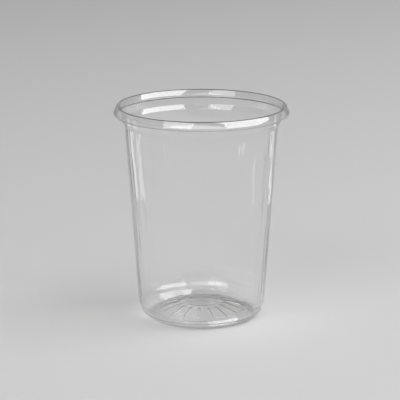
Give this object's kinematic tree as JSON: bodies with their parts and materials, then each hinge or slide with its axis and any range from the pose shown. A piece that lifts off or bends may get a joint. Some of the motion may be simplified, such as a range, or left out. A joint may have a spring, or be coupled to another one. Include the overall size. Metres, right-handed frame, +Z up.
{
  "type": "plastic deli container",
  "caption": "Clear thin-walled food container with a turned-down rim, a stacking ledge, a tapered wall, a stepped and bevelled heel, and a raised, ribbed base.",
  "frame": {"origin": "centre of the foot, on the plane that the container stands on", "axes": "+Z up along the container's axis, towards its mouth"},
  "size_m": [0.117, 0.117, 0.1442],
  "materials": {
    "clear_plastic": "clear gloss"
  },
  "bodies": {
    "root": {"container_body": "clear_plastic"}
  },
  "joints": []
}
